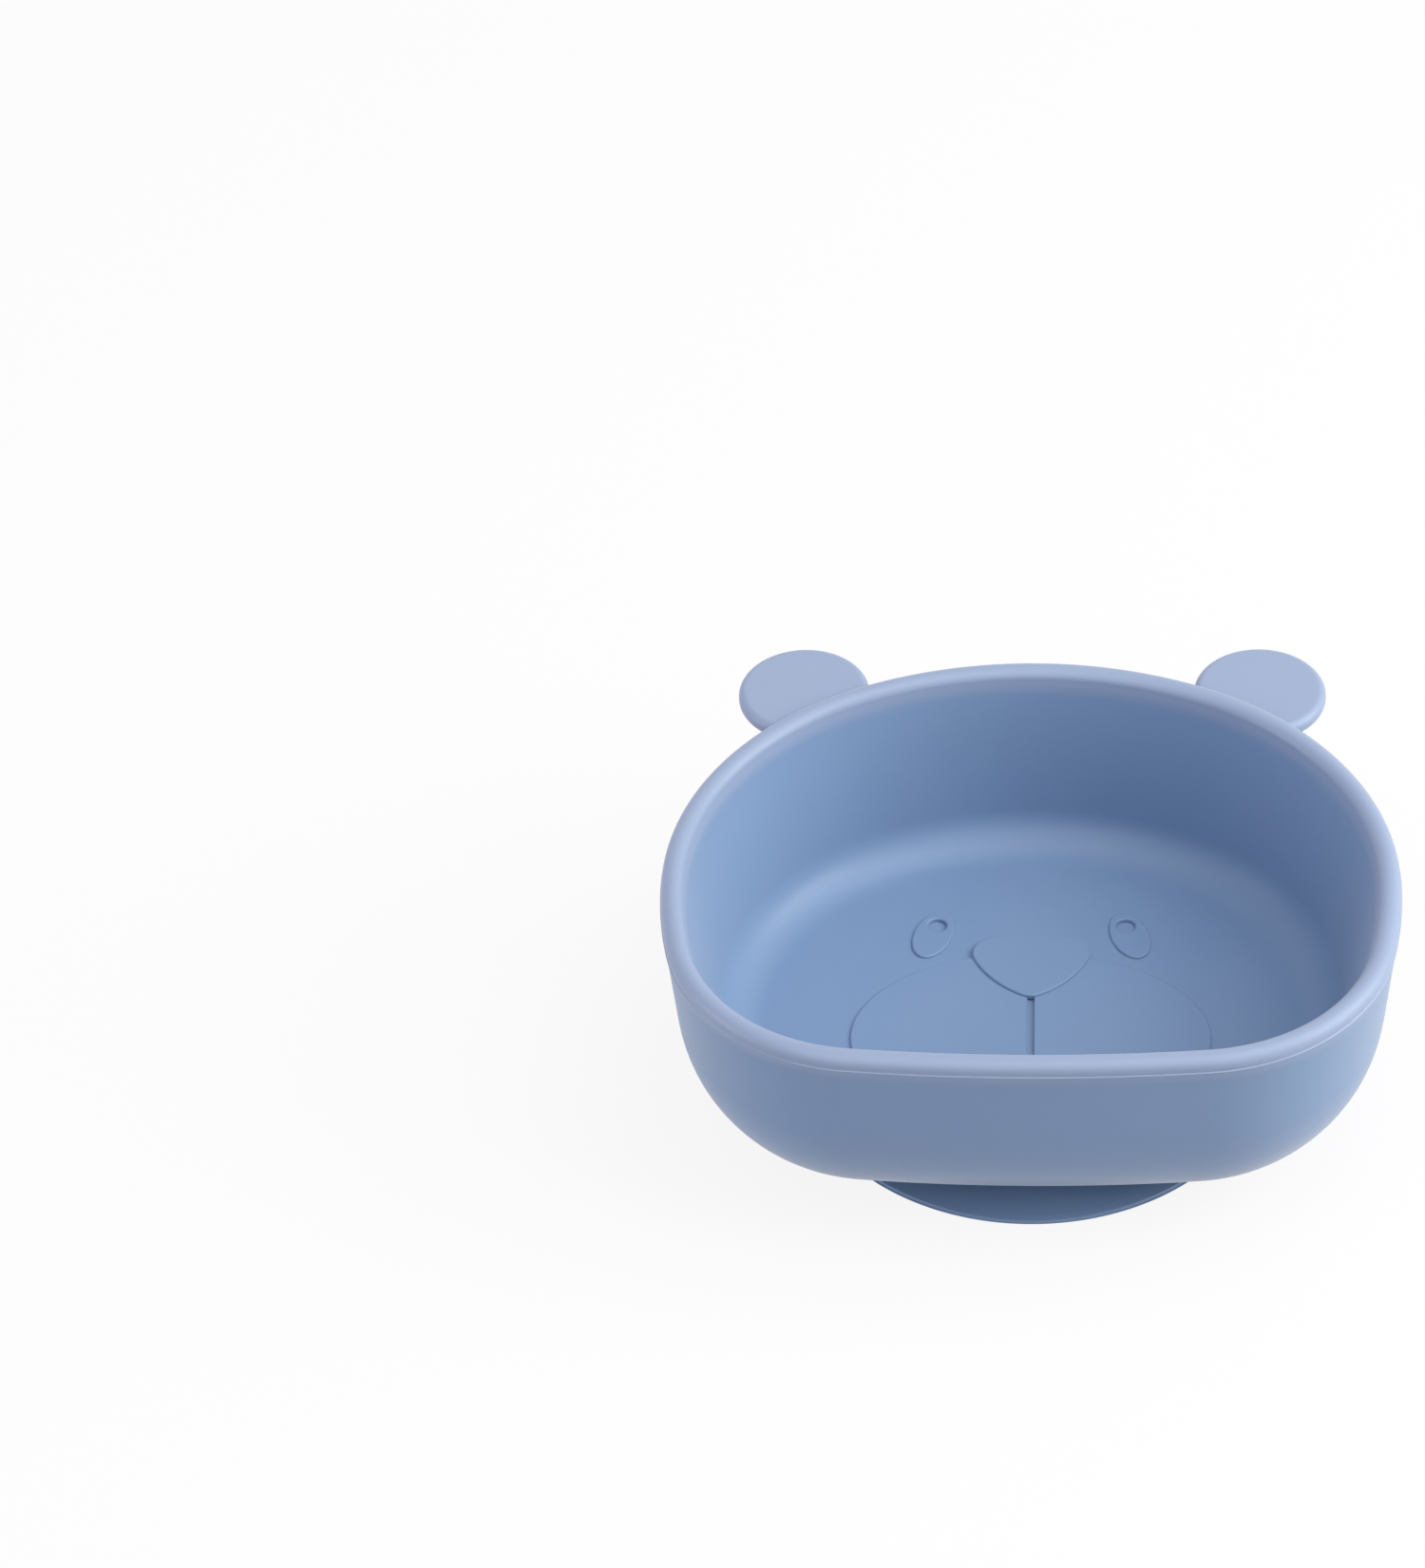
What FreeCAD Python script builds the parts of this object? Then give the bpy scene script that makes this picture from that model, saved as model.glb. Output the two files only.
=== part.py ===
import FreeCAD, Part
import math
import os

# Child's suction bowl in soft silicone: a bear's head in plan, with two ears at the back, a face
# raised on the floor, and a suction base that plugs into the underside.
# Millimetres, +Z up. The origin is on the table, under the middle of the whole outline, and the
# front of the face is towards -Y.

# Outline of the head, seen from above: five tangent arcs a side, from the crown to the chin.
head_width = 134.2
head_depth = 111.2
crown_radius = 78.0
temple_radius = 58.7
jaw_radius = 95.3
cheek_radius = 37.4
chin_radius = 344.0

# Rim and walls
bowl_height = 51.4      # from the table to the top of the rim
rim_thickness = 4.2     # round bead along the top edge
outer_draft = 4.9       # degrees
belly_radius = 32.8
belly_end = 48.0        # degrees below level, where the heel begins
heel_radius = 10.0
inner_draft = 9.2       # degrees
cove_radius = 8.7       # between the inner wall and the floor
floor_thickness = 6.9
underside_height = 7.0  # of the flat underside over the table

# Ears: two flat tabs, moulded with the rim
ear_radius = 12.4
ear_spacing = 86.0      # between their centres
ear_from_back = 7.4     # from the back of the head forward to their centres
ear_thickness = 3.4
ear_step = 1.1          # from the ear's upper face down to the top of the rim
ear_edge = 1.5

# Face, raised on the floor
relief = 0.5            # height of one level of the relief
muzzle_width = 67.0
muzzle_height = 46.0
muzzle_from_chin = 46.2
nose_width = 22.2
nose_height = 17.0
nose_brow = 29.6        # radius of its upper edge
nose_corner = 4.3
nose_side = 20.0
nose_tip = 4.2
nose_from_chin = 56.9   # to its lower tip
eye_spacing = 37.2
eye_length = 13.0
eye_width = 7.4
eye_lean = 17.0         # degrees, tops towards each other
eye_from_chin = 74.2
pupil_radius = 1.8
pupil_rise = 2.5        # over the middle of the eye
lip_line_width = 1.3
lip_line_length = 18.0
mouth_width = 17.0
mouth_depth = 9.9
mouth_dip = 1.2         # of its upper edge, at the line

# Suction base
base_from_chin = 55.5   # to the axis of the base
socket_radius = 20.0
socket_depth = 4.2
plug_clearance = 0.3    # round the plug and over its end
plug_lead = 0.6         # chamfer on the plug's end
neck_radius = 24.0
hub_radius = 30.0       # where the skirt begins to flex
hub_thickness = 2.2
hub_edge_thickness = 1.8
dome_height = 2.4       # of the hollow under the middle of the hub
dome_radius = 15.0      # of the hollow's flat middle
dome_edge = 1.9         # height of the hollow at the hub's edge
lip_radius = 44.2
lip_width = 2.0         # flat land that seals on the table
lip_thickness = 1.2
skirt_gap = 0.3         # between the pieces of the base, where the skin bends

# Release tab, at the back of the lip
tab_width = 14.0
tab_reach = 9.0         # beyond the lip
tab_thickness = 1.6
tab_lift = 0.4          # of its underside over the table

os.makedirs("parts", exist_ok=True)

UP = FreeCAD.Vector(0, 0, 1)


def direction(angle):
    """Unit vector in plan, at an angle in degrees clockwise from +Y."""
    turn = math.radians(angle)
    return FreeCAD.Vector(math.sin(turn), math.cos(turn), 0)


def save(shape, node):
    shape.exportStep("parts/" + node + ".step")


# Levels
bead_radius = rim_thickness / 2
ear_from_chin = head_depth - ear_from_back
whole_depth = ear_from_chin + ear_radius
chin_y = -whole_depth / 2
draft = math.radians(outer_draft)
belly_angle = math.radians(belly_end)
belly_drop = belly_radius * (math.sin(belly_angle) - math.sin(draft))
heel_drop = heel_radius * (1 - math.sin(belly_angle))
belly_top_z = underside_height + heel_drop + belly_drop
rim_z = bowl_height - bead_radius
floor_z = underside_height + floor_thickness


def meeting(first, second, first_reach, second_reach):
    """Point at these distances from two others, right of the way from first to second."""
    span = second - first
    along = (span.Length ** 2 + first_reach ** 2 - second_reach ** 2) / (2 * span.Length)
    across = math.sqrt(first_reach ** 2 - along ** 2)
    ahead = span / span.Length
    return first + ahead * along + FreeCAD.Vector(ahead.y, -ahead.x, 0) * across


def bearing(start, end):
    """Degrees clockwise from +Y of the way from start to end."""
    return math.degrees(math.atan2(end.x - start.x, end.y - start.y))


def plan_arcs():
    """Right half of the outline as (centre, radius, first angle, last angle), crown to chin."""
    half = head_width / 2
    crown = FreeCAD.Vector(0, chin_y + head_depth - crown_radius, 0)
    turn = math.asin((half - temple_radius) / (crown_radius - temple_radius))
    crown_end = math.degrees(turn)
    temple = crown + direction(crown_end) * (crown_radius - temple_radius)
    # The temple and the jaw meet square to the side, at the widest point.
    jaw = FreeCAD.Vector(half - jaw_radius, temple.y, 0)
    chin = FreeCAD.Vector(0, chin_y + chin_radius, 0)
    # The cheek touches both the jaw and the chin from inside.
    cheek = meeting(jaw, chin, jaw_radius - cheek_radius, chin_radius - cheek_radius)
    jaw_end = bearing(jaw, cheek)
    cheek_end = bearing(chin, cheek)
    return [
        (crown, crown_radius, 0, crown_end),
        (temple, temple_radius, crown_end, 90),
        (jaw, jaw_radius, 90, jaw_end),
        (cheek, cheek_radius, jaw_end, cheek_end),
        (chin, chin_radius, cheek_end, 180),
    ]


def raised(arcs, inset, bottom, height):
    """Upright solid on the outline of which the arcs are the right half, moved inwards."""
    right = []
    left = []
    for centre, radius, first, last in arcs:
        points = []
        for angle in (first, (first + last) / 2, last):
            points.append(centre + direction(angle) * (radius - inset))
        right.append(Part.Arc(*points).toShape())
        mirrored = [FreeCAD.Vector(-p.x, p.y, p.z) for p in reversed(points)]
        left.insert(0, Part.Arc(*mirrored).toShape())
    face = Part.Face(Part.Wire(right + left))
    face.translate(UP * bottom)
    return face.extrude(UP * height)


def wall_section():
    """Closed outline of the wall and the edge of the floor: x is the inset, y the height."""
    edges = []

    def point(inset, height):
        return FreeCAD.Vector(inset, height, 0)

    def line(start, end):
        edges.append(Part.makeLine(start, end))

    def arc(centre, radius, first, last):
        ends = []
        for turn in (first, (first + last) / 2, last):
            ends.append(centre + point(math.cos(turn), math.sin(turn)) * radius)
        edges.append(Part.Arc(*ends).toShape())
        return ends[0], ends[2]

    right_angle = math.pi / 2
    slope = math.radians(inner_draft)
    bead = point(bead_radius, rim_z)
    bead_out, bead_in = arc(bead, bead_radius, 2 * right_angle + draft, slope)

    cove_z = floor_z + cove_radius
    cove_top_z = cove_z - cove_radius * math.sin(slope)
    cove_top = point(bead_in.x + (bead_in.y - cove_top_z) * math.tan(slope), cove_top_z)
    cove = point(cove_top.x + cove_radius * math.cos(slope), cove_z)
    line(bead_in, cove_top)
    floor_edge = arc(cove, cove_radius, 2 * right_angle + slope, 3 * right_angle)[1]

    belly_inset = bead_out.x + (bead_out.y - belly_top_z) * math.tan(draft)
    belly_top = point(belly_inset, belly_top_z)
    belly_turn = point(math.cos(draft), math.sin(draft)) * belly_radius
    belly = belly_top + belly_turn
    heel = belly - point(math.cos(belly_angle), math.sin(belly_angle)) * (belly_radius - heel_radius)
    inset = max(heel.x, floor_edge.x) + 1
    line(floor_edge, point(inset, floor_z))
    line(point(inset, floor_z), point(inset, underside_height))
    line(point(inset, underside_height), point(heel.x, underside_height))
    arc(heel, heel_radius, 3 * right_angle, 2 * right_angle + belly_angle)
    arc(belly, belly_radius, 2 * right_angle + belly_angle, 2 * right_angle + draft)
    line(belly_top, bead_out)
    return Part.Face(Part.Wire(Part.__sortEdges__(edges))), inset


def swept_wall():
    """The wall all round, one revolved piece to each arc of the outline."""
    section, inset = wall_section()
    pieces = []
    for centre, radius, first, last in plan_arcs():
        piece = section.copy()
        # The section stands upright at the back, outer side towards +Y, then turns to its start.
        piece.rotate(FreeCAD.Vector(), FreeCAD.Vector(1, 0, 0), 90)
        piece.rotate(FreeCAD.Vector(), UP, -90)
        piece.translate(FreeCAD.Vector(0, radius, 0))
        piece.rotate(FreeCAD.Vector(), UP, -first)
        piece.translate(centre)
        solid = piece.revolve(centre, UP * -1, last - first)
        pieces.append(solid)
        pieces.append(solid.mirror(FreeCAD.Vector(), FreeCAD.Vector(1, 0, 0)))
    middle = raised(plan_arcs(), inset, underside_height, floor_thickness)
    return pieces[0].fuse(pieces[1:] + [middle]).removeSplitter()


def ear(side):
    """Flat round tab, level with the mould's parting line, ending inside the rim."""
    centre = FreeCAD.Vector(side * ear_spacing / 2, chin_y + ear_from_chin, 0)
    top = rim_z + bead_radius - ear_step
    centre.z = top - ear_thickness
    tab = Part.makeCylinder(ear_radius, ear_thickness, centre)
    edge = min(ear_edge, 0.45 * ear_thickness)
    tab = tab.makeFillet(edge, [e for e in tab.Edges if len(e.Vertexes) == 1])
    inside = raised(plan_arcs(), bead_radius, centre.z - bead_radius, ear_thickness + rim_thickness)
    return tab.cut(inside)


def oval(centre_x, centre_y, length, width, lean, bottom, height):
    """Upright oval prism; its long axis leans clockwise from +Y by the given degrees."""
    curve = Part.Ellipse(FreeCAD.Vector(), length / 2, width / 2)
    face = Part.Face(Part.Wire(curve.toShape()))
    face.rotate(FreeCAD.Vector(), UP, 90 - lean)
    face.translate(FreeCAD.Vector(centre_x, centre_y, bottom))
    return face.extrude(UP * height)


def nose_arcs():
    """Right half of the nose, a rounded triangle with its tip down, from its brow to its tip."""
    tip_y = chin_y + nose_from_chin
    brow = FreeCAD.Vector(0, tip_y + nose_height - nose_brow, 0)
    corner_x = nose_width / 2 - nose_corner
    brow_turn = math.asin(corner_x / (nose_brow - nose_corner))
    brow_end = math.degrees(brow_turn)
    corner = brow + direction(brow_end) * (nose_brow - nose_corner)
    tip = FreeCAD.Vector(0, tip_y + nose_tip, 0)
    # The side holds both the corner and the tip, and touches them.
    side = meeting(corner, tip, nose_side - nose_corner, nose_side - nose_tip)
    corner_end = bearing(side, corner)
    side_end = bearing(side, tip)
    return [
        (brow, nose_brow, 0, brow_end),
        (corner, nose_corner, brow_end, corner_end),
        (side, nose_side, corner_end, side_end),
        (tip, nose_tip, side_end, 180),
    ]


def mouth_solid(bottom, height):
    """Upright line under the nose, opening into a smile."""
    line_top = chin_y + nose_from_chin + nose_tip / 2
    corners_y = chin_y + nose_from_chin - lip_line_length
    line_foot = FreeCAD.Vector(-lip_line_width / 2, corners_y - 2 * mouth_dip, bottom)
    line = Part.makeBox(lip_line_width, line_top - line_foot.y, height, line_foot)
    left = FreeCAD.Vector(-mouth_width / 2, corners_y, 0)
    right = FreeCAD.Vector(mouth_width / 2, corners_y, 0)
    low = FreeCAD.Vector(0, corners_y - mouth_depth, 0)
    dip = FreeCAD.Vector(0, corners_y - mouth_dip, 0)
    smile = Part.Wire([Part.Arc(left, low, right).toShape(), Part.Arc(right, dip, left).toShape()])
    face = Part.Face(smile)
    face.translate(UP * bottom)
    return line.fuse(face.extrude(UP * height))


def face_relief():
    """Muzzle one level up, nose two levels up, and eyes with their pupils at floor level."""
    below = floor_thickness / 4     # the relief's root, sunk into the floor so that it fuses
    bottom = floor_z - below
    muzzle_y = chin_y + muzzle_from_chin
    muzzle = oval(0, muzzle_y, muzzle_width, muzzle_height, 90, bottom, below + relief)
    nose = raised(nose_arcs(), 0, bottom, below + 2 * relief)
    cut = mouth_solid(floor_z, 3 * relief)
    solids = [muzzle.cut(cut).fuse(nose)]
    for side in (-1, 1):
        x = side * eye_spacing / 2
        y = chin_y + eye_from_chin
        eye = oval(x, y, eye_length, eye_width, -side * eye_lean, bottom, below + relief)
        pupil = FreeCAD.Vector(x - side * pupil_rise * math.tan(math.radians(eye_lean)),
                               y + pupil_rise, floor_z)
        solids.append(eye.cut(Part.makeCylinder(pupil_radius, 3 * relief, pupil)))
    return solids


base = FreeCAD.Vector(0, chin_y + base_from_chin, 0)

# Bowl: walls, floor, rim, ears and face are one silicone moulding.
bowl = swept_wall().fuse([ear(-1), ear(1)] + face_relief())
socket = Part.makeCylinder(socket_radius, socket_depth, base + UP * underside_height)
bowl = bowl.cut(socket).removeSplitter()
save(bowl, "bowl_shell")


def turned(points):
    """Solid of revolution about the base's axis, from (radius, height) corners."""
    corners = [base + FreeCAD.Vector(radius, 0, height) for radius, height in points]
    face = Part.Face(Part.makePolygon(corners + corners[:1]))
    return face.revolve(base, UP, 360)


# Hub: plug, neck and the stiff middle of the suction disc. Its shoulder bears on the underside.
plug_radius = socket_radius - plug_clearance
plug_top = underside_height + socket_depth - plug_clearance
hub_edge_top = dome_edge + hub_edge_thickness
hub = turned([
    (0, dome_height),
    (dome_radius, dome_height),
    (hub_radius, dome_edge),
    (hub_radius, hub_edge_top),
    (neck_radius, dome_height + hub_thickness),
    (neck_radius, underside_height),
    (plug_radius, underside_height),
    (plug_radius, plug_top - plug_lead),
    (plug_radius - plug_lead, plug_top),
    (0, plug_top),
])
save(hub, "suction_hub")

# Skirt: the thin ring that flattens and seals, down to the lip on the table.
skirt_start = hub_radius + skirt_gap
lip_inner = lip_radius - lip_thickness / 2 - lip_width
skirt = turned([
    (skirt_start, dome_edge),
    (lip_inner, 0),
    (lip_radius - lip_thickness / 2, 0),
    (lip_radius, lip_thickness / 2),
    (lip_radius - lip_thickness / 2, lip_thickness),
    (skirt_start, hub_edge_top),
])
save(skirt, "suction_skirt")

# Release tab: lifts one edge of the lip to let the air in.
tab_start = lip_radius + skirt_gap
tab_length = tab_reach - skirt_gap - tab_width / 2
tab_corner = base + FreeCAD.Vector(-tab_width / 2, tab_start, tab_lift)
tab = Part.makeBox(tab_width, tab_length, tab_thickness, tab_corner)
tab_end = base + FreeCAD.Vector(0, tab_start + tab_length, tab_lift)
tab = tab.fuse(Part.makeCylinder(tab_width / 2, tab_thickness, tab_end))
lip_clear = Part.makeCylinder(tab_start, 4 * tab_thickness, base)
tab = tab.cut(lip_clear).removeSplitter()
save(tab, "release_tab")
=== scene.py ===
import math

import bpy
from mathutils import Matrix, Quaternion, Vector


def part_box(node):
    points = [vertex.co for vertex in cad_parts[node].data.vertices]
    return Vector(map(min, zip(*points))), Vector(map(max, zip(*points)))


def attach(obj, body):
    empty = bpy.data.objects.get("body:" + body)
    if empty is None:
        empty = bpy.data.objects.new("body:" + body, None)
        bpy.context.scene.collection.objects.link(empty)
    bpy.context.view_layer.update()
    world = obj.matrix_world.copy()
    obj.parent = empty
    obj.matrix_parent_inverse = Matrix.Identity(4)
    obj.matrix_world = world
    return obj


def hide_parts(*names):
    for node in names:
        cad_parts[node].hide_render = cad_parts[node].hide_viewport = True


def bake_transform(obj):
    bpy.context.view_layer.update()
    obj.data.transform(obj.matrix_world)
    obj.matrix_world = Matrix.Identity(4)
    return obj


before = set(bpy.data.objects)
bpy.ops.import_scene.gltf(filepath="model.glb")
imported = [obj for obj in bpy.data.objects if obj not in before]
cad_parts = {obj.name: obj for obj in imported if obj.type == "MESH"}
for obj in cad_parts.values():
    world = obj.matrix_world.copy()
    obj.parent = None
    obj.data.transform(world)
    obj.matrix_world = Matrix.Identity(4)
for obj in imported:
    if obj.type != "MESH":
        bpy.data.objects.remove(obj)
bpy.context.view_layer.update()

# Bowl: walls, rolled rim, floor, ears and the bear's face are one moulding of soft silicone.
# The wall is one section carried round the outline's arcs, mirrored, then closed by the floor
# and the flat underside.
MM = 0.001

shell_low, shell_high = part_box("bowl_shell")
half_width = shell_high.x
chin_y = shell_low.y
head_depth = 111.2 * MM
crown_radius = 78.0 * MM
temple_radius = 58.7 * MM
jaw_radius = 95.3 * MM
cheek_radius = 37.4 * MM
chin_radius = 344.0 * MM

bead_radius = 2.1 * MM
rim_z = shell_high.z - bead_radius
outer_draft = math.radians(4.9)
belly_radius = 32.8 * MM
belly_end = math.radians(48)
heel_radius = 10.0 * MM
inner_draft = math.radians(9.2)
cove_radius = 8.7 * MM
floor_z = 13.9 * MM
underside_z = 7.0 * MM
flash_drop = 0.5 * MM       # of the parting line under the rolled rim
flash_half_width = 0.20 * MM
flash_height = 0.20 * MM
plan_step = 1.1 * MM        # length of a face along the wall
border = 1.5 * MM           # of even faces round the floor and round the underside
hair = 0.001 * MM           # points no further apart than this are level, or one point


def deselect():
    """Leaves nothing selected, so that the next operator acts on its own piece alone."""
    if bpy.context.object and bpy.context.object.mode == "EDIT":
        bpy.ops.object.mode_set(mode="OBJECT")
    bpy.ops.object.select_all(action="DESELECT")


def begin_line(name, start):
    """A new piece, in edit mode, that is a single point."""
    deselect()
    bpy.ops.mesh.primitive_plane_add(size=MM, location=start)
    piece = bpy.context.object
    piece.name = name
    bpy.ops.object.mode_set(mode="EDIT")
    bpy.context.tool_settings.mesh_select_mode = (True, False, False)
    bpy.ops.mesh.select_all(action="SELECT")
    bpy.ops.mesh.merge(type="CENTER")
    return piece


def draw_to(here, there):
    """Draws on from the last point, which is here, straight to there."""
    step = Vector(there) - Vector(here)
    bpy.ops.mesh.extrude_region_move(TRANSFORM_OT_translate={"value": step})
    return Vector(there)


def draw_round(here, centre, axis, turn, steps):
    """Draws on from the last point by an arc, turning left-handed about the axis."""
    bpy.ops.mesh.spin(steps=steps, angle=turn, center=centre, axis=axis)
    arm = Vector(here) - Vector(centre)
    return Vector(centre) + Quaternion(Vector(axis), -turn) @ arm


def settle(piece):
    """Leaves the finished mesh in place with its object at the origin."""
    deselect()
    piece.select_set(True)
    bpy.context.view_layer.objects.active = piece
    bpy.ops.object.transform_apply(location=True, rotation=True, scale=True)


def turn_outward(piece, merge=0.005 * MM):
    """Joins doubled points, then points every face outwards."""
    deselect()
    piece.select_set(True)
    bpy.context.view_layer.objects.active = piece
    bpy.ops.object.mode_set(mode="EDIT")
    bpy.ops.mesh.select_all(action="SELECT")
    bpy.ops.mesh.remove_doubles(threshold=merge)
    bpy.ops.mesh.normals_make_consistent(inside=False)
    bpy.ops.object.mode_set(mode="OBJECT")


def choose(piece, kind, test):
    """Selects, in edit mode, the vertices, edges or faces of the piece that pass the test."""
    deselect()
    piece.select_set(True)
    bpy.context.view_layer.objects.active = piece
    order = ("vertices", "edges", "polygons")
    bpy.ops.object.mode_set(mode="EDIT")
    bpy.context.tool_settings.mesh_select_mode = tuple(kind == word for word in order)
    bpy.ops.mesh.select_all(action="DESELECT")
    bpy.ops.object.mode_set(mode="OBJECT")
    for part in getattr(piece.data, kind):
        part.select = test(part)
    bpy.ops.object.mode_set(mode="EDIT")


def lies_at(piece, edge, height):
    """Whether both ends of an edge are at this height."""
    return all(abs(piece.data.vertices[i].co.z - height) < hair for i in edge.vertices)


def apply_modifier(piece, kind, **settings):
    """Adds a modifier to the piece and applies it at once."""
    deselect()
    piece.select_set(True)
    bpy.context.view_layer.objects.active = piece
    modifier = piece.modifiers.new(kind.title(), kind)
    for setting, value in settings.items():
        setattr(modifier, setting, value)
    bpy.ops.object.modifier_apply(modifier=modifier.name)


def direction(angle):
    """Unit vector in plan, clockwise from the back."""
    return Vector((math.sin(angle), math.cos(angle), 0))


def meeting(first, second, first_reach, second_reach):
    """The point at these distances from two others, right of the way from first to second."""
    span = second - first
    along = (span.length_squared + first_reach ** 2 - second_reach ** 2) / (2 * span.length)
    across = math.sqrt(first_reach ** 2 - along ** 2)
    ahead = span.normalized()
    return first + ahead * along + Vector((ahead.y, -ahead.x, 0)) * across


def bearing(start, end):
    """Angle of the way from start to end, clockwise from the back."""
    return math.atan2(end.x - start.x, end.y - start.y)


def outline_arcs():
    """Right half of the outline from crown to chin, as each arc's centre, radius and turn."""
    crown = Vector((0, chin_y + head_depth - crown_radius, 0))
    crown_end = math.asin((half_width - temple_radius) / (crown_radius - temple_radius))
    temple = crown + direction(crown_end) * (crown_radius - temple_radius)
    jaw = Vector((half_width - jaw_radius, temple.y, 0))
    chin = Vector((0, chin_y + chin_radius, 0))
    cheek = meeting(jaw, chin, jaw_radius - cheek_radius, chin_radius - cheek_radius)
    jaw_end = bearing(jaw, cheek)
    cheek_end = bearing(chin, cheek)
    return [
        (crown, crown_radius, crown_end),
        (temple, temple_radius, math.pi / 2 - crown_end),
        (jaw, jaw_radius, jaw_end - math.pi / 2),
        (cheek, cheek_radius, cheek_end - jaw_end),
        (chin, chin_radius, math.pi - cheek_end),
    ]


back_y = chin_y + head_depth
ACROSS = (1, 0, 0)
UP = (0, 0, 1)


def at(inset, height):
    """A point of the wall's section, which is drawn at the back of the outline."""
    return Vector((0, back_y - inset, height))


bead = Vector((bead_radius, rim_z))
bead_in = bead + bead_radius * Vector((math.cos(inner_draft), math.sin(inner_draft)))
bead_out = bead - bead_radius * Vector((math.cos(outer_draft), math.sin(outer_draft)))
cove_z = floor_z + cove_radius
cove_top_z = cove_z - cove_radius * math.sin(inner_draft)
cove_top_inset = bead_in.x + (bead_in.y - cove_top_z) * math.tan(inner_draft)
cove_inset = cove_top_inset + cove_radius * math.cos(inner_draft)
wall_down = Vector((math.sin(outer_draft), -math.cos(outer_draft)))
wall_out = Vector((-math.cos(outer_draft), -math.sin(outer_draft)))
belly_drop = belly_radius * (math.sin(belly_end) - math.sin(outer_draft))
heel_drop = heel_radius * (1 - math.sin(belly_end))
belly_top_z = underside_z + heel_drop + belly_drop
belly_top = bead_out + wall_down * (bead_out.y - belly_top_z) / math.cos(outer_draft)
belly = belly_top - wall_out * belly_radius
heel = belly - Vector((math.cos(belly_end), math.sin(belly_end))) * (belly_radius - heel_radius)

pen = at(cove_inset, floor_z)
bowl = begin_line("bear_bowl", pen)
pen = draw_round(pen, at(cove_inset, cove_z), ACROSS, inner_draft - math.pi / 2, steps=14)
wall_foot = at(cove_top_inset, cove_top_z)
for share in (0.25, 0.5, 0.75, 1):
    pen = draw_to(pen, wall_foot.lerp(at(bead_in.x, bead_in.y), share))
bead_turn = math.pi + outer_draft - inner_draft
pen = draw_round(pen, at(bead.x, bead.y), ACROSS, bead_turn, steps=20)
flash = bead_out + wall_down * flash_drop
for along, out in ((-flash_half_width, 0), (0, flash_height), (flash_half_width, 0)):
    spot = flash + wall_down * along + wall_out * out
    pen = draw_to(pen, at(spot.x, spot.y))
for share in (0.33, 0.67, 1):
    spot = flash.lerp(belly_top, share)
    pen = draw_to(pen, at(spot.x, spot.y))
pen = draw_round(pen, at(belly.x, belly.y), ACROSS, belly_end - outer_draft, steps=14)
pen = draw_round(pen, at(heel.x, heel.y), ACROSS, math.pi / 2 - belly_end, steps=8)

bpy.ops.mesh.select_all(action="SELECT")
for centre, radius, turn in outline_arcs():
    steps = max(3, round(radius * turn / plan_step))
    bpy.ops.mesh.spin(steps=steps, angle=turn, center=centre, axis=UP)
settle(bowl)
apply_modifier(bowl, "MIRROR", use_clip=True, merge_threshold=20 * hair)

for level in (floor_z, underside_z):
    choose(bowl, "edges", lambda edge: lies_at(bowl, edge, level))
    bpy.ops.mesh.edge_face_add()
    bpy.ops.object.mode_set(mode="OBJECT")
    choose(bowl, "polygons",
           lambda face: len(face.vertices) > 9 and abs(face.center.z - level) < hair)
    bpy.ops.mesh.inset(thickness=border)
turn_outward(bowl)

# Face: the muzzle, the nose and the eyes stand proud of the bowl's floor in low relief, moulded
# in one with it, and their edges are a little round. The smile is left at the floor's level, and
# the lip line and the pupils go a little below it.
relief = 0.5 * MM
root = 1.7 * MM             # of each raised part below the floor, inside the silicone
relief_edge = 0.42 * MM
sunk = 0.3 * MM             # of the lip line and the pupils below the floor
ledge = 0.05 * MM           # of floor left beside each of them
muzzle_width = 67.0 * MM
muzzle_height = 46.0 * MM
muzzle_y = chin_y + 46.2 * MM
nose_width = 22.2 * MM
nose_height = 17.0 * MM
nose_brow = 29.6 * MM
nose_corner = 4.3 * MM
nose_side = 20.0 * MM
nose_tip = 4.2 * MM
nose_tip_y = chin_y + 56.9 * MM
eye_spacing = 37.2 * MM
eye_length = 13.0 * MM
eye_width = 7.4 * MM
eye_lean = math.radians(17)
eye_y = chin_y + 74.2 * MM
pupil_radius = 1.8 * MM
pupil_rise = 2.5 * MM
lip_line_width = 1.3 * MM
lip_line_length = 18.0 * MM
mouth_width = 17.0 * MM
mouth_depth = 9.9 * MM
mouth_dip = 1.2 * MM


def join_solid(piece, other, operation="UNION"):
    """Fuses the other solid to the piece, or cuts it away, and removes it."""
    apply_modifier(piece, "BOOLEAN", object=other, operation=operation, solver="EXACT")
    bpy.data.objects.remove(other, do_unlink=True)


def oval(name, centre, length, width, bottom, top, lean=0, sides=96):
    """An upright oval prism, its long side along X before it leans."""
    deselect()
    middle = (centre[0], centre[1], (bottom + top) / 2)
    bpy.ops.mesh.primitive_cylinder_add(vertices=sides, radius=0.5, depth=top - bottom,
                                        location=middle)
    piece = bpy.context.object
    piece.name = name
    piece.scale = (length, width, 1)
    piece.rotation_euler.z = lean
    settle(piece)
    return piece


def fill_and_raise(piece, height):
    """Closes the drawn outline with a face and raises it into a prism."""
    bpy.ops.mesh.select_all(action="SELECT")
    bpy.ops.mesh.remove_doubles(threshold=hair)
    bpy.ops.mesh.edge_face_add()
    bpy.ops.mesh.extrude_region_move(TRANSFORM_OT_translate={"value": (0, 0, height)})
    settle(piece)
    turn_outward(piece, hair)


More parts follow.
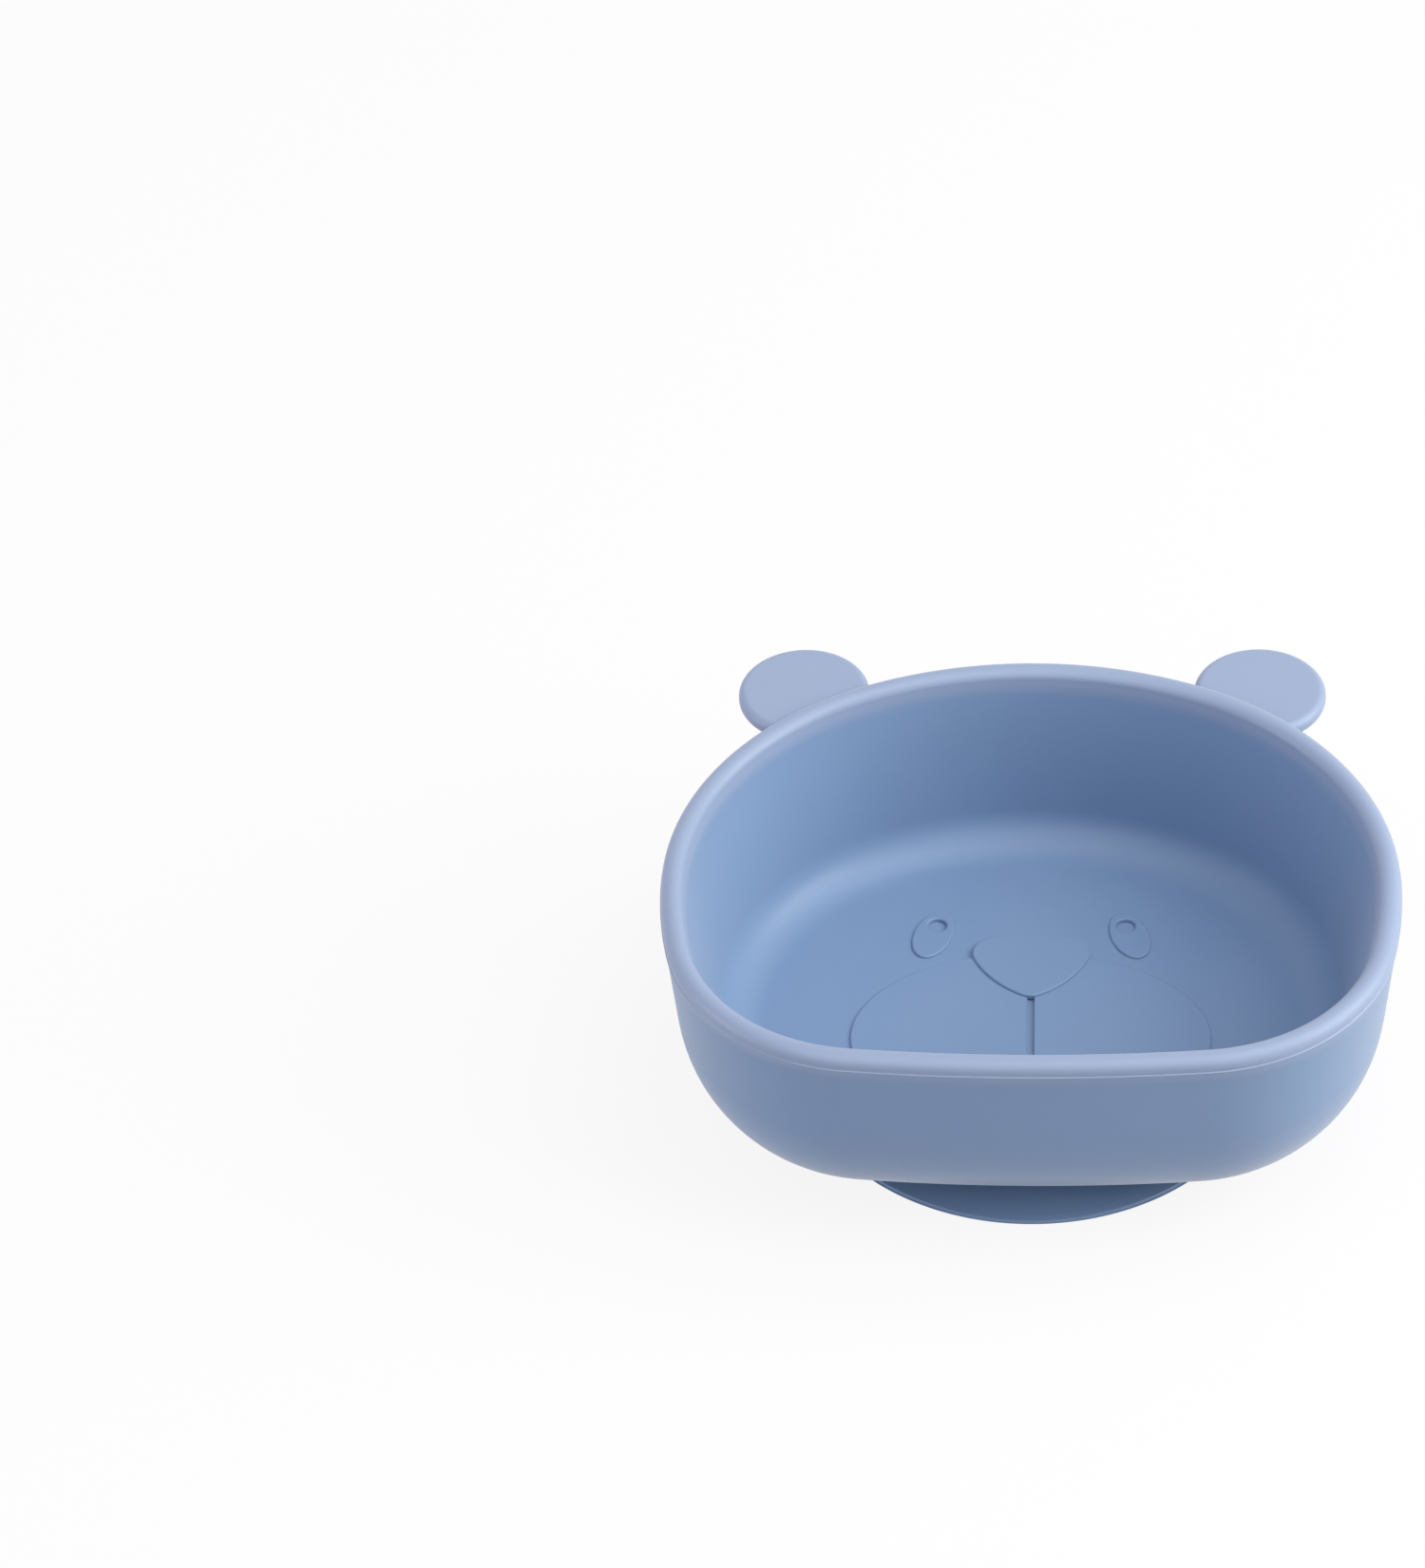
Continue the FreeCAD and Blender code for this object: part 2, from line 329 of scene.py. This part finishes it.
def arc_through(start, middle, end):
    """Centre and turn of the arc in plan from start to end that passes the middle point."""
    chord = Vector(end) - Vector(start)
    rise = Vector(middle) - (Vector(start) + Vector(end)) / 2
    radius = (chord.length_squared / 4 + rise.length_squared) / (2 * rise.length)
    centre = Vector(middle) - rise.normalized() * radius
    turn = 2 * math.asin(min(1, chord.length / 2 / radius))
    if rise.length > radius:
        turn = 2 * math.pi - turn
    left = chord.cross(rise).z > 0
    return centre, turn if left else -turn


def soften(piece, level, width, segments=3):
    """Rounds the piece's sharp edges that lie at one level."""
    faces_of = {}
    for face in piece.data.polygons:
        for key in face.edge_keys:
            faces_of.setdefault(key, []).append(face.normal.copy())

    def is_corner(edge):
        normals = faces_of[edge.key]
        sharp = len(normals) == 2 and normals[0].dot(normals[1]) < 0.7
        return sharp and lies_at(piece, edge, level)

    choose(piece, "edges", is_corner)
    bpy.ops.mesh.bevel(offset=width, segments=segments, profile=0.5, affect="EDGES")
    bpy.ops.object.mode_set(mode="OBJECT")


line_top = nose_tip_y + nose_tip / 2
smile_y = nose_tip_y - lip_line_length
line_foot = smile_y - 2 * mouth_dip
foot_z = floor_z - root
face_top = floor_z + relief
nose_top = floor_z + 2 * relief


def bar(width, bottom, top):
    """The upright line under the nose as a solid."""
    deselect()
    middle = (0, (line_top + line_foot) / 2, (bottom + top) / 2)
    bpy.ops.mesh.primitive_cube_add(size=1, location=middle)
    piece = bpy.context.object
    piece.scale = (width, line_top - line_foot, top - bottom)
    settle(piece)
    return piece


lip_line = bar(lip_line_width, floor_z - 2 * root, floor_z + 2 * root)

corner = Vector((mouth_width / 2, smile_y, floor_z - 2 * root))
far_corner = Vector((-mouth_width / 2, smile_y, floor_z - 2 * root))
pen = corner
smile = begin_line("smile", pen)
for middle_y, start, end in ((smile_y - mouth_depth, corner, far_corner),
                             (smile_y - mouth_dip, far_corner, corner)):
    centre, turn = arc_through(start, (0, middle_y, start.z), end)
    pen = draw_round(start, centre, UP, turn, steps=24)
fill_and_raise(smile, 4 * root)

muzzle = oval("muzzle", (0, muzzle_y), muzzle_width, muzzle_height, foot_z, face_top, sides=160)
join_solid(muzzle, lip_line, "DIFFERENCE")
join_solid(muzzle, smile, "DIFFERENCE")
soften(muzzle, face_top, relief_edge)

brow = Vector((0, nose_tip_y + nose_height - nose_brow, foot_z))
corner_x = nose_width / 2 - nose_corner
brow_end = math.asin(corner_x / (nose_brow - nose_corner))
round_corner = brow + direction(brow_end) * (nose_brow - nose_corner)
tip = Vector((0, nose_tip_y + nose_tip, foot_z))
flank = meeting(round_corner, tip, nose_side - nose_corner, nose_side - nose_tip)
corner_end = bearing(flank, round_corner)
flank_end = bearing(flank, tip)
flipped = Vector((-1, 1, 1))
pen = brow + Vector((0, nose_brow, 0))
nose = begin_line("nose", pen)
for centre, turn, steps in ((brow, brow_end, 16),
                            (round_corner, corner_end - brow_end, 18),
                            (flank, flank_end - corner_end, 16),
                            (tip, 2 * (math.pi - flank_end), 24),
                            (flank * flipped, flank_end - corner_end, 16),
                            (round_corner * flipped, corner_end - brow_end, 18),
                            (brow, brow_end, 16)):
    pen = draw_round(pen, centre, UP, turn, steps)
fill_and_raise(nose, nose_top - foot_z)
soften(nose, nose_top, relief_edge)

features = [muzzle, nose]
sunk_lines = [bar(lip_line_width - 2 * ledge, floor_z - sunk, floor_z + ledge)]
for side in (-1, 1):
    eye_centre = Vector((side * eye_spacing / 2, eye_y))
    turned = math.pi / 2 + side * eye_lean
    eye = oval("eye", eye_centre, eye_length, eye_width, foot_z, face_top, turned, sides=64)
    pupil_spot = eye_centre + Vector((-side * pupil_rise * math.tan(eye_lean), pupil_rise))
    wide = 2 * pupil_radius
    pupil = oval("pupil", pupil_spot, wide, wide, foot_z - root, face_top + root, sides=32)
    join_solid(eye, pupil, "DIFFERENCE")
    soften(eye, face_top, relief_edge)
    features.append(eye)
    narrow = 2 * (pupil_radius - ledge)
    sunk_lines.append(oval("pupil", pupil_spot, narrow, narrow,
                           floor_z - sunk, floor_z + ledge, sides=32))
for feature in features:
    join_solid(bowl, feature)
for line in sunk_lines:
    join_solid(bowl, line, "DIFFERENCE")

# Ears: two flat round tabs at the back, moulded level with the parting line, so that the rolled
# rim stands a little over them. Their edges are rounded top and bottom.
ear_radius = 12.4 * MM
ear_spacing = 86.0 * MM
ear_y = shell_high.y - ear_radius
ear_thickness = 3.4 * MM
ear_step = 1.1 * MM
ear_edge = 1.5 * MM
ear_root = 0.6 * MM         # of each ear inside the rim's bead
ear_top = shell_high.z - ear_step
ear_foot = ear_top - ear_thickness
temple, reach, _ = outline_arcs()[1]
for side in (-1, 1):
    ear = oval("ear", (side * ear_spacing / 2, ear_y), 2 * ear_radius, 2 * ear_radius,
               ear_foot, ear_top, sides=128)
    soften(ear, ear_top, ear_edge, segments=8)
    soften(ear, ear_foot, ear_edge, segments=8)
    temple_centre = Vector((side * temple.x, temple.y, ear_top))
    outward = (Vector((side * ear_spacing / 2, ear_y, ear_top)) - temple_centre).normalized()
    hidden = temple_centre + outward * (reach - bead_radius - ear_root)
    choose(ear, "vertices", lambda point: True)
    bpy.ops.mesh.bisect(plane_co=hidden, plane_no=outward, use_fill=True, clear_inner=True)
    turn_outward(ear)
    join_solid(bowl, ear)

# Socket: the round pocket in the underside that grips the plug of the suction base. It is moulded
# in the bowl's thick floor, and its mouth has a small lead. The bowl is then whole and gets its
# finish: through-coloured silicone, with a painted glow that makes its top few millimetres, the
# rolled rim and the ears, paler, standing in for light let through the thin rim.
socket_radius = 20.0 * MM
socket_depth = 4.2 * MM
socket_lead = 0.4 * MM
hub_low, hub_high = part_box("suction_hub")
base_y = (hub_low.y + hub_high.y) / 2
socket = oval("socket", (0, base_y), 2 * socket_radius, 2 * socket_radius,
              underside_z - socket_depth, underside_z + socket_depth, sides=160)
join_solid(bowl, socket, "DIFFERENCE")
soften(bowl, underside_z, socket_lead, segments=2)
turn_outward(bowl)


class Value:
    """A number in a finish, which takes plain arithmetic."""

    def __init__(self, finish, socket):
        self.finish = finish
        self.socket = socket

    def math(self, operation, *others):
        """The outcome of one Math node on this number and the others."""
        return self.finish.node("ShaderNodeMath", {"operation": operation},
                                dict(enumerate((self,) + others)))

    def __add__(self, other):
        return self.math("ADD", other)

    def __sub__(self, other):
        return self.math("SUBTRACT", other)

    def __rsub__(self, other):
        return self.finish.node("ShaderNodeMath", {"operation": "SUBTRACT"}, {0: other, 1: self})

    def __mul__(self, other):
        return self.math("MULTIPLY", other)

    def limited(self):
        """The same number, kept between 0 and 1."""
        return self.finish.node("ShaderNodeClamp", {}, {"Value": self})

    __radd__ = __add__
    __rmul__ = __mul__


class Finish:
    """A material and its nodes."""

    def __init__(self, name):
        self.material = bpy.data.materials.new(name)
        self.material.use_nodes = True
        self.tree = self.material.node_tree
        self.tree.nodes.clear()

    def node(self, kind, settings, sockets, output=0):
        """Adds a node, sets it, fills or links its sockets, and gives one of its outputs."""
        made = self.tree.nodes.new(kind)
        for setting, value in settings.items():
            setattr(made, setting, value)
        for key, value in sockets.items():
            if isinstance(value, Value):
                self.tree.links.new(value.socket, made.inputs[key])
            else:
                made.inputs[key].default_value = value
        return Value(self, made.outputs[output])

    def noise(self, size, detail=2.0, roughness=0.5):
        """Noise between 0 and 1 whose lumps are about this size in metres."""
        place = self.node("ShaderNodeTexCoord", {}, {}, "Object")
        return self.node("ShaderNodeTexNoise", {"noise_dimensions": "3D"}, {
            "Vector": place, "Scale": 1 / size, "Detail": detail, "Roughness": roughness})

    def finish_with(self, shader):
        """Ends the nodes with the shader and gives the material."""
        output = self.tree.nodes.new("ShaderNodeOutputMaterial")
        self.tree.links.new(shader.socket, output.inputs["Surface"])
        return self.material


def silicone(name, colour, deep_colour, gloss_below=0, painted_glow_colour=None, painted_glow_from=0, painted_glow_to=1):
    """Matt soft-touch silicone, its colour cloudy by a few parts in a hundred.

    It can be smoother on the faces that look down, and take a painted glow, a paler colour from
    one height to another that stands in for light let through thin silicone.
    """
    finish = Finish(name)
    cloud = finish.noise(22 * MM, 2.0)
    grain = finish.noise(0.5 * MM, 3.0, 0.6)
    speck = finish.noise(1.6 * MM, 2.0)
    mottle = (cloud * 0.6 + speck * 0.25 + grain * 0.15).limited()
    tint = finish.node("ShaderNodeMix", {"data_type": "RGBA"},
                       {"Factor": mottle, 6: (*deep_colour, 1), 7: (*colour, 1)}, 2)
    # Painted glow: the colour is mixed towards a paler one over a band of heights, standing in
    # for light through the thin rim.
    if painted_glow_colour:
        place = finish.node("ShaderNodeTexCoord", {}, {}, "Object")
        level = finish.node("ShaderNodeSeparateXYZ", {}, {0: place}, 2)
        share = finish.node("ShaderNodeMapRange", {"interpolation_type": "SMOOTHSTEP"},
                            {"Value": level, "From Min": painted_glow_from, "From Max": painted_glow_to})
        tint = finish.node("ShaderNodeMix", {"data_type": "RGBA"},
                           {"Factor": share, 6: tint, 7: (*painted_glow_colour, 1)}, 2)
    rough = 0.42 + (cloud - 0.5) * 0.10 + (grain - 0.5) * 0.12
    if gloss_below:
        facing = finish.node("ShaderNodeTexCoord", {}, {}, "Normal")
        down = finish.node("ShaderNodeSeparateXYZ", {}, {0: facing}, 2)
        rough = rough - (down * -1).limited() * gloss_below
    height = grain * 0.7 + speck * 0.3
    bump = finish.node("ShaderNodeBump", {}, {
        "Strength": 0.35, "Distance": 0.03 * MM, "Height": height})
    surface = finish.node("ShaderNodeBsdfPrincipled", {}, {
        "Base Color": tint, "Roughness": rough.limited(), "Normal": bump,
        "IOR": 1.41, "Sheen Weight": 0.3, "Sheen Roughness": 0.4})
    return finish.finish_with(surface)


smooth_under = math.radians(35)


def dress(piece, material):
    """Gives a piece its finish and smooths it, flat faces keeping their own direction."""
    deselect()
    piece.select_set(True)
    bpy.context.view_layer.objects.active = piece
    piece.data.materials.clear()
    piece.data.materials.append(material)
    bpy.ops.object.shade_smooth_by_angle(angle=smooth_under)
    apply_modifier(piece, "WEIGHTED_NORMAL", keep_sharp=True, weight=60)


blue = (0.194, 0.304, 0.486)
deep_blue = (0.176, 0.283, 0.461)
# Painted glow: a paler blue for the top band, over the rolled rim and the ears, standing in for
# light let through the thin rim.
rim_painted_glow_blue = (0.262, 0.345, 0.505)
painted_glow_from_z = 45.8 * MM
painted_glow_to_z = 49.0 * MM
# The bowl's finish carries the painted glow between these two heights.
dress(bowl, silicone("blue silicone", blue, deep_blue, painted_glow_colour=rim_painted_glow_blue,
                     painted_glow_from=painted_glow_from_z, painted_glow_to=painted_glow_to_z))
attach(bowl, "bowl")
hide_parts("bowl_shell")

# Hub: the plug that pushes into the bowl's socket, the neck under it, and the stiff middle of the
# suction disc. It is the same soft silicone, moulded in one with the skirt that follows.
plug_radius = 19.7 * MM
plug_lead = 0.6 * MM
plug_flat = 12.0 * MM
plug_top = hub_high.z
neck_radius = 24.0 * MM
neck_fillet = 1.6 * MM
fillet_fall = 0.25 * MM     # so that the disc slopes away from the neck
hub_radius = hub_high.x
neck_foot_z = 4.6 * MM
hub_edge_top = 3.7 * MM
dome_z = 2.4 * MM
dome_radius = 15.0 * MM
dome_flat = 7.0 * MM
dome_edge_z = 1.9 * MM
edge_lift = 0.03 * MM       # of each last point before a flat or an edge
seam = 0.12 * MM            # half of the fine groove where the skirt begins to flex
around = 200                # faces round the base


def base_at(radius, height):
    """A point of the base's section, which is drawn on its right."""
    return Vector((radius, base_y, height))


def revolve(piece):
    """Turns the drawn section about the base's axis into a closed piece."""
    bpy.ops.mesh.select_all(action="SELECT")
    bpy.ops.mesh.spin(steps=around, angle=2 * math.pi, center=(0, base_y, 0), axis=UP)
    settle(piece)
    turn_outward(piece)


BACK = (0, 1, 0)
pen = base_at(0, plug_top)
hub = begin_line("suction_plug_and_hub", pen)
for radius, height in ((plug_flat, plug_top), (plug_radius - plug_lead, plug_top),
                       (plug_radius, plug_top - plug_lead), (plug_radius, underside_z),
                       (neck_radius - plug_lead / 2, underside_z),
                       (neck_radius, underside_z - plug_lead / 2),
                       (neck_radius, neck_foot_z + neck_fillet)):
    pen = draw_to(pen, base_at(radius, height))
for share in (0.25, 0.5, 0.75, 1):
    turn = share * math.pi / 2
    spot = base_at(neck_radius + neck_fillet * (1 - math.cos(turn)),
                   neck_foot_z + neck_fillet * (1 - math.sin(turn)) - fillet_fall * share)
    pen = draw_to(pen, spot)
for radius, height in ((hub_radius - 2 * seam, hub_edge_top + edge_lift),
                       (hub_radius - seam, hub_edge_top), (hub_radius, hub_edge_top - seam),
                       (hub_radius, dome_edge_z + seam), (hub_radius - seam, dome_edge_z),
                       (hub_radius - 2 * seam, dome_edge_z), (26 * MM, 2.0 * MM),
                       (21 * MM, 2.18 * MM), (dome_radius, dome_z - edge_lift),
                       (dome_flat, dome_z), (0, dome_z)):
    pen = draw_to(pen, base_at(radius, height))
revolve(hub)

base_blue = (0.178, 0.286, 0.458)
base_deep = (0.161, 0.266, 0.434)
base_finish = silicone("base silicone", base_blue, base_deep, gloss_below=0.22)
dress(hub, base_finish)
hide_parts("suction_hub")
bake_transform(hub)

# Skirt: the thin ring of the suction disc. It slopes down to a rounded lip whose flat land seals
# on the table, and it bends as the bowl is pressed down.
skirt_low, skirt_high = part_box("suction_skirt")
lip_radius = skirt_high.x
lip_round = 0.6 * MM
lip_width = 2.0 * MM
lip_inner = lip_radius - lip_round - lip_width
lip_centre = base_at(lip_radius - lip_round, lip_round)
skirt_top = base_at(hub_radius + seam, hub_edge_top - 0.04 * MM)

pen = skirt_top
skirt = begin_line("suction_skirt_ring", pen)
for radius, height in ((31.5 * MM, 3.42 * MM), (34 * MM, 2.94 * MM), (37 * MM, 2.37 * MM),
                       (40 * MM, 1.82 * MM), (42.4 * MM, 1.44 * MM),
                       (lip_radius - lip_round, 2 * lip_round)):
    pen = draw_to(pen, base_at(radius, height))
pen = draw_round(pen, lip_centre, BACK, math.pi, steps=10)
for radius, height in ((lip_inner, 0), (lip_inner - 0.5 * MM, 0.06 * MM), (38 * MM, 0.62 * MM),
                       (35 * MM, 1.12 * MM), (32 * MM, 1.62 * MM),
                       (hub_radius + seam, dome_edge_z), (hub_radius, dome_edge_z + seam),
                       (hub_radius, hub_edge_top - seam)):
    pen = draw_to(pen, base_at(radius, height))
pen = draw_to(pen, skirt_top)
revolve(skirt)
dress(skirt, base_finish)
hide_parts("suction_skirt")
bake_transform(skirt)

# Release tab: the tongue at the back of the lip. Lifting it peels the lip off the table and lets
# the air in. Its end is a half circle, dished on top for a fingertip.
tab_low, tab_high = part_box("release_tab")
tab_half = tab_high.x
tab_root_y = base_y + 42.8 * MM
tab_turn_y = tab_high.y - tab_half
tab_edge = 0.5 * MM
dish = 0.25 * MM
dish_border = 0.9 * MM
dish_slope = 0.6 * MM
thin_step = 0.8 * MM        # between the cuts where the tab thickens from its root
thin_steps = 4
thin = 0.5                  # share of the tab's thickness that its root keeps
root_z = 0.65 * MM


def edge_at(side, share):
    """A point of the tab's straight side, from its root at 0 to its half circle at 1."""
    return Vector((side * tab_half, tab_root_y + share * (tab_turn_y - tab_root_y), tab_low.z))


pen = edge_at(1, 0)
tab = begin_line("release_tab_tongue", pen)
for share in (0.34, 0.67, 1):
    pen = draw_to(pen, edge_at(1, share))
pen = draw_round(pen, (0, tab_turn_y, tab_low.z), UP, -math.pi, steps=40)
for share in (0.67, 0.34, 0):
    pen = draw_to(pen, edge_at(-1, share))
fill_and_raise(tab, tab_high.z - tab_low.z)
soften(tab, tab_high.z, tab_edge, segments=5)
soften(tab, tab_low.z, tab_edge, segments=5)
choose(tab, "polygons", lambda face: face.normal.z > 0.99 and len(face.vertices) > 9)
bpy.ops.mesh.inset(thickness=dish_border)
bpy.ops.mesh.inset(thickness=dish_slope)
bpy.ops.transform.translate(value=(0, 0, -dish))
for step in range(thin_steps):
    choose(tab, "vertices", lambda point: True)
    cut_y = tab_root_y + (step + 1) * thin_step
    bpy.ops.mesh.bisect(plane_co=(0, cut_y, 0), plane_no=BACK)
for step in range(thin_steps):
    cut_y = tab_root_y + step * thin_step
    choose(tab, "vertices", lambda point: abs(point.co.y - cut_y) < 10 * hair
           or step == 0 and point.co.y < cut_y)
    share = step / thin_steps
    keep = thin + (1 - thin) * share * share * (3 - 2 * share)
    bpy.ops.transform.resize(value=(1, 1, keep), center_override=(0, cut_y, root_z))
turn_outward(tab)
dress(tab, base_finish)
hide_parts("release_tab")
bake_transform(tab)

# Floor: a plain white table, wide enough to fill the view. It glows a little where it is seen, so
# that it reads as white, and its matt paint keeps the bowl's soft shadow.
floor_size = 6.0
floor_drop = 0.02 * MM      # so that the suction lip stands clear of the table
glow_share = 0.8


def when_seen(finish):
    """1 for light that the camera sees straight, in a gloss or through glass, otherwise 0."""
    straight = finish.node("ShaderNodeLightPath", {}, {}, "Is Camera Ray")
    shiny = finish.node("ShaderNodeLightPath", {}, {}, "Is Glossy Ray")
    clear = finish.node("ShaderNodeLightPath", {}, {}, "Is Transmission Ray")
    return (straight + shiny + clear).limited()


deselect()
bpy.ops.mesh.primitive_plane_add(size=floor_size, location=(0, 0, -floor_drop))
floor = bpy.context.object
floor.name = "floor"
ground = Finish("white table")
paint = ground.node("ShaderNodeBsdfDiffuse", {}, {"Color": (0.45, 0.46, 0.50, 1)})
glow = ground.node("ShaderNodeEmission", {}, {"Color": (1, 1, 1, 1), "Strength": 1.1})
white = ground.node("ShaderNodeMixShader", {}, {
    0: when_seen(ground) * glow_share, 1: paint, 2: glow})
floor.data.materials.append(ground.finish_with(white))

# Studio: white surroundings whose light is a little dim and rosy, soft lamps from overhead, from
# the right and, weaker, from low on the left, and a wide card in front that adds only gloss.
ambient = 0.60
ambient_tint = (1.0, 0.93, 0.96, 1)
lamp_distance = 1.2


class Sky(Finish):
    """The world's nodes."""

    def __init__(self, name):
        self.world = bpy.data.worlds.new(name)
        self.world.use_nodes = True
        self.tree = self.world.node_tree
        self.tree.nodes.clear()

    def finish_with(self, shader):
        """Ends the nodes with the shader and gives the world."""
        output = self.tree.nodes.new("ShaderNodeOutputWorld")
        self.tree.links.new(shader.socket, output.inputs["Surface"])
        return self.world


air = Sky("studio")
seen = when_seen(air)
tint = air.node("ShaderNodeMix", {"data_type": "RGBA"},
                {"Factor": seen, 6: ambient_tint, 7: (1, 1, 1, 1)}, 2)
bpy.context.scene.world = air.finish_with(air.node("ShaderNodeBackground", {}, {
    "Color": tint, "Strength": seen * (1 - ambient) + ambient}))


def way(azimuth, elevation):
    """Unit vector from the bowl, its azimuth counted from the front towards the right."""
    return Vector((math.sin(azimuth) * math.cos(elevation),
                   -math.cos(azimuth) * math.cos(elevation), math.sin(elevation)))


def lamp(name, azimuth, elevation, size, watts, colour=(1, 1, 1)):
    """A square soft lamp that faces the bowl."""
    away = way(math.radians(azimuth), math.radians(elevation))
    aim = Vector((0, 0, rim_z / 2))
    deselect()
    bpy.ops.object.light_add(type="AREA", location=aim + away * lamp_distance)
    light = bpy.context.object
    light.name = name
    light.data.size = size
    light.data.energy = watts
    light.data.color = colour
    light.rotation_mode = "QUATERNION"
    light.rotation_quaternion = (-away).to_track_quat("-Z", "Y")
    return light


lamp("overhead", 80, 68, size=0.9, watts=5.6)
lamp("right", 84, 27, size=0.9, watts=14.0, colour=(1.0, 0.95, 0.86))
lamp("left", -76, 10, size=0.5, watts=4.2, colour=(1.0, 0.94, 0.97))
card = lamp("gloss card", 0, 50, size=1.5, watts=9.0)
card.visible_diffuse = False

# Camera: a long lens, well above the rim and almost square to the face. The bowl stands to the
# right of the middle of the picture and a little below it.
rim_middle = Vector((0, chin_y + 53.27 * MM, rim_z))
azimuth = math.radians(0.60)
elevation = math.radians(42)
distance = 1.0
roll = math.radians(-0.34)
beside = 0.05787            # tangents of the angles from the camera's axis to the rim's middle
below = 0.01591
back = way(azimuth, elevation)
deselect()
bpy.ops.object.camera_add(location=rim_middle + back * distance)
camera = bpy.context.object
camera.name = "camera"
camera.data.lens = 125.89
camera.data.sensor_width = 36
camera.data.clip_end = 20
look = (-back).to_track_quat("-Z", "Y")
swing = Vector((0, 0, -1)).rotation_difference(Vector((beside, -below, -1)))
camera.rotation_mode = "QUATERNION"
camera.rotation_quaternion = look @ Quaternion((0, 0, 1), roll) @ swing.inverted()
bpy.context.scene.camera = camera
bpy.context.scene.view_settings.view_transform = "Standard"
